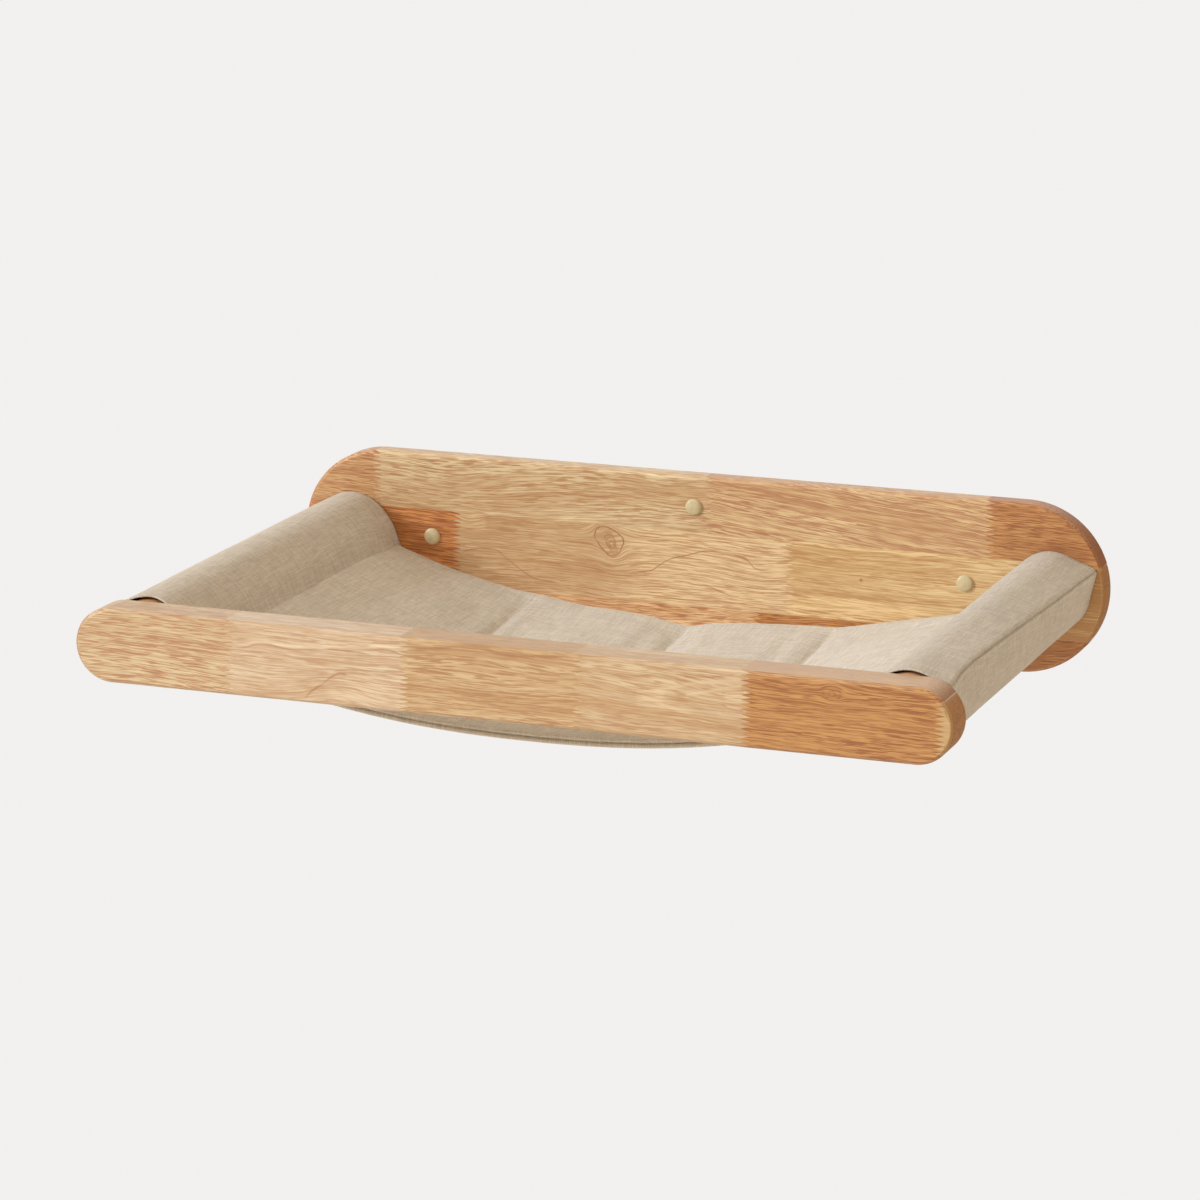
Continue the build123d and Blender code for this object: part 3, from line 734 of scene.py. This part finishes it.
# Cloth meshes: grids of points with the cloth's own lengths as texture coordinates
def grid_mesh(name, points, lengths_u, lengths_v, closed):
    """A mesh over points[i][j]. A closed one joins each cut's end to its start and has end
    faces."""
    count_u, count_v = points.shape[:2]
    faces, uvs = [], []
    for i in range(count_u - 1):
        here, beyond = i * count_v, (i + 1) * count_v
        for j in range(count_v if closed else count_v - 1):
            k = (j + 1) % count_v
            faces.append((here + j, beyond + j, beyond + k, here + k))
            uvs += [(lengths_u[i], lengths_v[j]), (lengths_u[i + 1], lengths_v[j]),
                    (lengths_u[i + 1], lengths_v[j + 1]), (lengths_u[i], lengths_v[j + 1])]
    if closed:
        for i, order in ((0, range(count_v)), (count_u - 1, range(count_v - 1, -1, -1))):
            faces.append(tuple(i * count_v + j for j in order))
            uvs += [(lengths_u[i], lengths_v[j]) for j in order]
    mesh = bpy.data.meshes.new(name)
    mesh.from_pydata(points.reshape(-1, 3).tolist(), [], faces)
    layer = mesh.uv_layers.new(name="cloth")
    layer.data.foreach_set("uv", np.array(uvs, np.float32).ravel())
    mesh.validate()
    for face in mesh.polygons:
        face.use_smooth = True
    return mesh


def hem_back(x):
    return -(MAT_BACK + HEM_BOW * (1 - (x / MAT_HALF) ** 2))


def hem_front(x):
    return -(MAT_FRONT - HEM_BOW * (1 - (x / MAT_HALF) ** 2))


def panel_place(x):
    """Where a point lies across its own panel: -1 and 1 on its seams and 0 in its middle."""
    for left, right in zip(MAT_SEAMS, MAT_SEAMS[1:]):
        if x <= right:
            return max(-1.0, min(1.0, (2 * x - left - right) / (right - left)))
    return 1.0


def depth_share(x, y, inset=0.0):
    """How far along the depth a point is: -1 at the front hem and 1 at the back hem."""
    middle = (hem_back(x) + hem_front(x)) / 2
    reach = (hem_back(x) - hem_front(x)) / 2 - inset
    return max(-1.0, min(1.0, (y - middle) / reach))


def seam_height(x, y):
    """Height of the bed's sewn middle layer. Towards the back hem it rises and falls."""
    along = depth_share(x, y)
    side = SIDE_MIDDLE + (SIDE_AT_HEM - SIDE_MIDDLE) * along**2
    low = LOW_MIDDLE + (LOW_AT_HEM - LOW_MIDDLE) * along**2
    lean = SAG_LEAN * (1 + along) / 2 * (1 - (x / MAT_HALF) ** 2)
    share = 1 - abs((x - lean) / MAT_HALF) ** SAG_POWER
    places, lifts = zip(*HEM_LIFT)
    arch = float(np.interp(x / MM, places, lifts)) * MM * max(0.0, along) ** HEM_LIFT_POWER
    return side + (low - side) * share + arch


def fullness(x, y):
    """How full the bed is at a point: 0 on its channel seams and hems and 1 in a panel's middle.
    Along the sleeves it stays partly full, because they are sewn to its edges."""
    across = panel_place(x)
    if abs(x) > abs(MAT_SEAMS[1]) and across * x > 0:
        across *= SEAM_TUCK[1 if x > 0 else -1]
    along = depth_share(x, y, HEM_INSET)
    tucked = TUCKED_FULLNESS if abs(x) > MAT_HALF + PAST_SEAM else 1.0
    round_across = max(0.0, 1 - abs(across) ** FULL_ACROSS) ** FULL_ROUND
    return tucked * round_across * max(0.0, 1 - abs(along) ** FULL_ALONG)


def crease_rise(x, y):
    """A slack fold in the first panel: the cloth dips along a line and stands a little proud in
    front of it."""
    (x1, y1), (x2, y2) = CREASE
    length = hypot(x2 - x1, y2 - y1)
    along = ((x - x1) * (x2 - x1) + (y - y1) * (y2 - y1)) / length / length
    off = ((x - x1) * (y2 - y1) - (y - y1) * (x2 - x1)) / length
    fade = max(0.0, 1 - (2 * along - 1) ** 2) ** CREASE_FADE if 0 < along < 1 else 0.0
    height, distance, width = CREASE_FRONT
    front = height * exp(-((off - distance) / width) ** 2)
    depth, width = CREASE_DIP
    return fade * (front - depth * exp(-(off / width) ** 2))


def mat_skin(x, y, side):
    """Height of a skin above or below the seam layer, up to the hem's folded band."""
    crown = TOP_CROWN if side > 0 else UNDER_CROWN
    to_hem = min(hem_back(x) - y, y - hem_front(x)) - HEM_INSET
    into_hem = max(0.0, min(1.0, 1 - to_hem / HEM_WIDTH))
    rise = HALF_SEAM + (HEM_FOLD - HEM_SLACK - HALF_SEAM) * into_hem
    crease = crease_rise(x, y) if side > 0 else 0.0
    return side * (rise + crown * fullness(x, y)) + crease


def hem_fold(x, edge, direction):
    """Two rolled edges, one above the other, round the end of the bed."""
    level = seam_height(x, edge)
    radius = (HEM_FOLD - HEM_SLACK) / 2
    points = []
    for centre in (HEM_FOLD / 2, -HEM_FOLD / 2):
        for turn in range(1, FOLD_STEPS):
            angle = pi / 2 - pi * turn / FOLD_STEPS
            points.append((x, edge + direction * radius * (cos(angle) - 1),
                           level + centre + radius * sin(angle)))
        if centre > 0:
            points.append((x, edge - direction * (radius + HEM_GROOVE), level))
    return points


def mat_ring(x):
    """The bed's outline in one cut across it: top, front hem, underside and back hem."""
    back, front = hem_back(x), hem_front(x)
    start, end = back - HEM_FOLD / 2, front + HEM_FOLD / 2
    places = [start + (end - start) * step / (SKIN_STEPS - 1) for step in range(SKIN_STEPS)]
    top = [(x, y, seam_height(x, y) + mat_skin(x, y, 1)) for y in places]
    under = [(x, y, seam_height(x, y) + mat_skin(x, y, -1)) for y in reversed(places)]
    return top + hem_fold(x, front, -1) + under + hem_fold(x, back, 1)[::-1]


def mat_stations():
    """Where the bed is cut across its width: closer together near the seams. The first and
    last cuts are tucked in under the sleeves."""
    stations = [-MAT_HALF - TUCK_REACH]
    for left, right in zip(MAT_SEAMS, MAT_SEAMS[1:]):
        for step in range(PANEL_STEPS):
            share = step / PANEL_STEPS
            stations.append(left + (right - left) * (share - SEAM_CROWDING * sin(2 * pi * share)))
    return stations + [MAT_HALF, MAT_HALF + TUCK_REACH]


def lengths_along(points):
    """Distance along a line of points, from its start."""
    return np.r_[0.0, np.cumsum(np.linalg.norm(np.diff(points, axis=0), axis=1))]


def mat_mesh():
    stations = mat_stations()
    points = np.array([mat_ring(x) for x in stations])
    across = lengths_along(points[:, SKIN_STEPS // 2])
    ring = points[len(stations) // 2]
    around = lengths_along(np.vstack([ring, ring[:1]]))
    return grid_mesh("quilted_mat", points, across, around, True), stations


def sewn_weights(stations, ring_size):
    """How firmly each point is held while the bed is filled: 1 on seams and hems."""
    weights = np.zeros((len(stations), ring_size))
    for i, x in enumerate(stations):
        on_seam = min(abs(x - seam) for seam in MAT_SEAMS) < ON_SEAM or abs(x) > MAT_HALF
        for j in range(ring_size):
            skin = j % (SKIN_STEPS + 2 * FOLD_STEPS - 1)
            in_hem = skin < HELD_ROWS or skin >= SKIN_STEPS - HELD_ROWS
            weights[i, j] = 1.0 if on_seam or in_hem else 0.0
    return weights.ravel()


def free_to_swell(x, y):
    """0 on the seams and hems, rising smoothly to 1 some way into a panel."""
    away = min(min(abs(x - seam) for seam in MAT_SEAMS) / SEAM_HOLD,
               min(hem_back(x) - y, y - hem_front(x)) / HEM_HOLD, 1.0)
    away = max(0.0, away)
    return away * away * (3 - 2 * away)


def fill_with_wadding(bed, weights):
    """Blow the sewn cloths up by cloth simulation, and keep the shape that they take."""
    group = bed.vertex_groups.new(name="sewn")
    for index in np.nonzero(weights)[0]:
        group.add([int(index)], float(weights[index]), "REPLACE")
    before = np.empty(len(bed.data.vertices) * 3)
    bed.data.vertices.foreach_get("co", before)
    cloth = bed.modifiers.new("filling", "CLOTH")
    for key, value in FILLING.items():
        setattr(cloth.settings, key, value)
    cloth.settings.effector_weights.gravity = 0
    cloth.collision_settings.use_collision = False
    cloth.point_cache.frame_start = 1
    cloth.point_cache.frame_end = SWELL_FRAMES
    scene = bpy.context.scene
    for frame_number in range(1, SWELL_FRAMES + 1):
        scene.frame_set(frame_number)
    graph = bpy.context.evaluated_depsgraph_get()
    blown = bed.evaluated_get(graph).to_mesh()
    after = np.empty_like(before)
    blown.vertices.foreach_get("co", after)
    bed.evaluated_get(graph).to_mesh_clear()
    bed.modifiers.remove(cloth)
    scene.frame_set(1)
    moved = (after - before).reshape(-1, 3)
    distance = np.linalg.norm(moved, axis=1)
    moved *= np.minimum(1.0, SWELL_CAP / np.maximum(distance, 1e-9))[:, None]
    moved *= np.array([free_to_swell(x, y) for x, y, _ in before.reshape(-1, 3)])[:, None]
    bed.data.vertices.foreach_set("co", (before.reshape(-1, 3) + moved).ravel())
    bed.data.update()
    bed.vertex_groups.clear()


# The back hem's rolled edge is a little paler: a painted highlight where it catches the light
bed_linen = linen("bed_linen", srgb(*BED_TINT),
                  hem=(-(MAT_BACK + HEM_BOW), HEM_BOW / MAT_HALF / MAT_HALF))
mat, mat_cuts = mat_mesh()
bed = piece("quilted_mat", mat, bed_linen)
fill_with_wadding(bed, sewn_weights(mat_cuts, len(mat.vertices) // len(mat_cuts)))
smoothing = bed.modifiers.new("subdivision", "SUBSURF")
smoothing.levels = smoothing.render_levels = 1
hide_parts("mat_top_cloth", "mat_under_cloth", "mat_wadding")


# Sleeves: one cloth each, from the bed's side seam over the rail, round and back to the seam
def touch(centre, radius, point, turn):
    """Angle on the circle where a straight run from the point touches it."""
    dx, dz = point[0] - centre[0], point[1] - centre[1]
    return atan2(dz, dx) + turn * acos(radius / hypot(dx, dz))


def arc(centre, radius, start, end):
    angles = [start + (end - start) * step / ARC_STEPS for step in range(ARC_STEPS + 1)]
    return [(centre[0] + radius * cos(angle), centre[1] + radius * sin(angle)) for angle in angles]


def resampled(path, count):
    """The same line of points at a given number of even steps."""
    path = np.array(path)
    steps = lengths_along(path)
    even = np.linspace(0, steps[-1], count)
    return np.c_[np.interp(even, steps, path[:, 0]), np.interp(even, steps, path[:, 1])]


def sleeve_line(side, depth):
    """The sleeve's cut at one depth, drawn for the right-hand side, as (x, z) points: from the
    bed's edge over the rail to the ridge, and back round below to the bed's edge."""
    edge = side * MAT_HALF
    inside = max(hem_front(edge) + CLEAR_OF_HEM, min(hem_back(edge) - CLEAR_OF_HEM, -depth))
    level = seam_height(edge, -depth)
    top, bottom = (
        (MAT_HALF - inward, level + mat_skin(edge, inside, skin) + up)
        for (inward, up), skin in ((SLEEVE_START, 1), (SLEEVE_END, -1))
    )
    depths, reaches, heights = zip(*RIDGES[side])
    reach = float(np.interp(depth / MM, depths, reaches)) * MM
    height = float(np.interp(depth / MM, depths, heights)) * MM
    ridge_top, crease, ridge_low = (
        (RAIL_X + reach + across, height + up) for across, up in RIDGE_CUT
    )
    upper, lower = (RAIL_X, -SLEEVE_DROP), (RAIL_X, 0)
    above = [top]
    above += arc(upper, SLEEVE_RADIUS, touch(upper, SLEEVE_RADIUS, top, -1) % (2 * pi),
                 touch(upper, SLEEVE_RADIUS, ridge_top, 1))
    above.append(ridge_top)
    below = [ridge_low]
    below += arc(lower, SLEEVE_LOW_RADIUS, touch(lower, SLEEVE_LOW_RADIUS, ridge_low, -1),
                 touch(lower, SLEEVE_LOW_RADIUS, bottom, 1) % (2 * pi) - 2 * pi)
    below.append(bottom)
    return np.vstack([resampled(above, RIDGE_INDEX), [crease], resampled(below, BELOW_RIDGE)])


def sleeve_mesh(side):
    """A sleeve's cloth from its back hem to its front hem, and its girth."""
    depth_steps = np.r_[np.linspace(0, END_SHARE, END_ROWS),
                        np.linspace(END_SHARE, 1 - END_SHARE, MIDDLE_ROWS)[1:-1],
                        np.linspace(1 - END_SHARE, 1, END_ROWS)]
    centre = np.array([RAIL_X, -SLEEVE_DROP])
    middle = sleeve_line(side, (SLEEVE_BACK + SLEEVE_FRONT) / 2)
    lengths = lengths_along(middle)
    lift_x, lift_z, lift_width, lift_depth = (value * MM for value in HEM_LIFTS[side])
    from_lift = np.hypot(middle[:, 0] - lift_x, middle[:, 1] - lift_z) / lift_width
    front = SLEEVE_FRONT - lift_depth * np.exp(-from_lift**2)
    to_seam = np.minimum(lengths, lengths[-1] - lengths)
    free = np.clip(to_seam / SLEEVE_HEM, 0, 1)
    below_ridge = lengths > lengths[RIDGE_INDEX]
    from_ridge = np.abs(lengths - lengths[RIDGE_INDEX]) / PUFF_REACH
    puff = from_ridge * np.exp(1 - from_ridge) * np.where(below_ridge, PUFF_BELOW, PUFF_ABOVE) * MM
    bulge_height, bulge_place, bulge_width, bulge_end = BULGE
    bulge = bulge_height * np.exp(-((lengths / MM - bulge_place) / bulge_width) ** 2)
    bulge *= lengths < bulge_end
    rows = []
    for share in depth_steps:
        base = sleeve_line(side, SLEEVE_BACK + (SLEEVE_FRONT - SLEEVE_BACK) * share)
        outward = base - centre
        outward /= np.linalg.norm(outward, axis=1)[:, None]
        from_end = min(share, 1 - share) * (SLEEVE_FRONT - SLEEVE_BACK)
        hem = max(0.0, 1 - from_end / SLEEVE_HEM) ** HEM_FLARING
        waves = np.array([
            noise.noise(Vector((x * WAVE_SCALE, share * WAVE_DEPTH_SCALE,
                                z * WAVE_SCALE + side * 5.0)))
            for x, z in base
        ])
        swell = free * (SLEEVE_FLARE * hem + WAVES * waves) + bulge + puff * (1 - hem)
        place = base + outward * swell[:, None]
        depth = SLEEVE_BACK + (front - SLEEVE_BACK) * share
        rows.append(np.c_[side * place[:, 0], -depth, place[:, 1]])
    points = np.array(rows)
    girth = float(lengths[-1])
    if side > 0:
        points = points[:, ::-1]
        lengths = girth - lengths[::-1]
    along = depth_steps * (SLEEVE_FRONT - SLEEVE_BACK)
    return grid_mesh("sleeve_cloth", points, list(along), list(lengths), False), girth


for side, name in ((-1, "left"), (1, "right")):
    mesh, girth = sleeve_mesh(side)
    sleeve_linen = linen(f"{name}_sleeve_linen", srgb(*SLEEVE_COLOUR_AND_SHADE[name]), 1.3)
    sleeve = piece(f"{name}_sleeve_cloth", mesh, sleeve_linen)
    shell = sleeve.modifiers.new("thickness", "SOLIDIFY")
    shell.thickness = SLEEVE_CLOTH
    shell.offset = -1
    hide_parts(f"{name}_sleeve")


# Stage: a pale floor well below the hammock, as if it hung on a wall. The camera sees the
# floor and the world as one pale grey, and the floor keeps the shadow
BACKGROUND = srgb(241, 241, 241)
FLOOR_Z, FLOOR_REACH = -1.1, 60
FLOOR_COLOUR = (0.82, 0.76, 0.68, 1)
FLOOR_SHADED, FLOOR_GLOW = (0.10, 0.10, 0.10, 1), 0.885
FILL_COLOUR, FILL_STRENGTH = (1.0, 0.81, 0.61, 1), 0.82
KEY_FROM, KEY_STRENGTH, KEY_SPREAD = (-0.80, -0.52, 0.42), 2.45, 15
KEY_COLOUR = (0.96, 1.01, 1.09)


def by_ray(g, lit, seen):
    """One shader for the light that bounces, another for what the camera and reflections see."""
    rays = g.node("LightPath").outputs
    looks = g.math("MAXIMUM", rays["Is Camera Ray"], rays["Is Glossy Ray"])
    return g.node("MixShader", {0: looks, 1: lit, 2: seen}).outputs[0]


def stage_floor():
    mesh = bpy.data.meshes.new("floor")
    corners = ((-1, -1), (1, -1), (1, 1), (-1, 1))
    mesh.from_pydata([(x * FLOOR_REACH, y * FLOOR_REACH, FLOOR_Z) for x, y in corners], [],
                     [(0, 1, 2, 3)])
    floor = bpy.data.objects.new("floor", mesh)
    bpy.context.scene.collection.objects.link(floor)
    g = Graph(bpy.data.materials.new("pale_floor"))
    lit = g.node("BsdfDiffuse", {"Color": FLOOR_COLOUR}).outputs[0]
    faint = g.node("BsdfDiffuse", {"Color": FLOOR_SHADED}).outputs[0]
    glow = g.node("Emission", {"Color": BACKGROUND, "Strength": FLOOR_GLOW}).outputs[0]
    seen = g.node("AddShader", {0: faint, 1: glow}).outputs[0]
    g.node("OutputMaterial", {0: by_ray(g, lit, seen)})
    mesh.materials.append(g.owner)


def stage_world():
    world = bpy.data.worlds.new("studio")
    bpy.context.scene.world = world
    g = Graph(world)
    fill = g.node("Background", {"Color": FILL_COLOUR, "Strength": FILL_STRENGTH}).outputs[0]
    seen = g.node("Background", {"Color": BACKGROUND, "Strength": 1.0}).outputs[0]
    g.node("OutputWorld", {0: by_ray(g, fill, seen)})


def sun(name, towards, strength, spread, colour):
    """A soft sun whose light travels from the point given towards the hammock."""
    lamp = bpy.data.lights.new(name, "SUN")
    lamp.energy = strength
    lamp.angle = radians(spread)
    lamp.color = colour
    made = bpy.data.objects.new(name, lamp)
    bpy.context.scene.collection.objects.link(made)
    made.rotation_euler = Vector(towards).to_track_quat("Z", "Y").to_euler()


stage_floor()
stage_world()
sun("key", KEY_FROM, KEY_STRENGTH, KEY_SPREAD, KEY_COLOUR)

# Camera: the photograph's viewpoint, in the hammock's own frame
AZIMUTH, ELEVATION, ROLL = radians(20.2), radians(13.73), radians(0.3)
DISTANCE = 3155 * MM
TARGET = Vector((0, -178.7 * MM, 0))
PAN = (10.55 * MM, -6.58 * MM)
FOCAL_PIXELS, FRAME_PIXELS, SENSOR = 4649.63, 1200, 36.0


def studio_camera():
    back = Vector((sin(AZIMUTH) * cos(ELEVATION), -cos(AZIMUTH) * cos(ELEVATION), sin(ELEVATION)))
    right = (-back).cross(Vector((0, 0, 1))).normalized()
    up = right.cross(-back)
    rolled_right = right * cos(ROLL) + up * sin(ROLL)
    rolled_up = up * cos(ROLL) - right * sin(ROLL)
    place = TARGET + back * DISTANCE - rolled_right * PAN[0] - rolled_up * PAN[1]
    lens = bpy.data.cameras.new("camera")
    lens.lens = FOCAL_PIXELS / FRAME_PIXELS * SENSOR
    lens.sensor_width = SENSOR
    lens.clip_end = 200
    camera = bpy.data.objects.new("camera", lens)
    bpy.context.scene.collection.objects.link(camera)
    turn = Matrix((rolled_right, rolled_up, back)).transposed()
    camera.matrix_world = Matrix.Translation(place) @ turn.to_4x4()
    bpy.context.scene.camera = camera


studio_camera()
bpy.context.scene.view_settings.view_transform = "Standard"
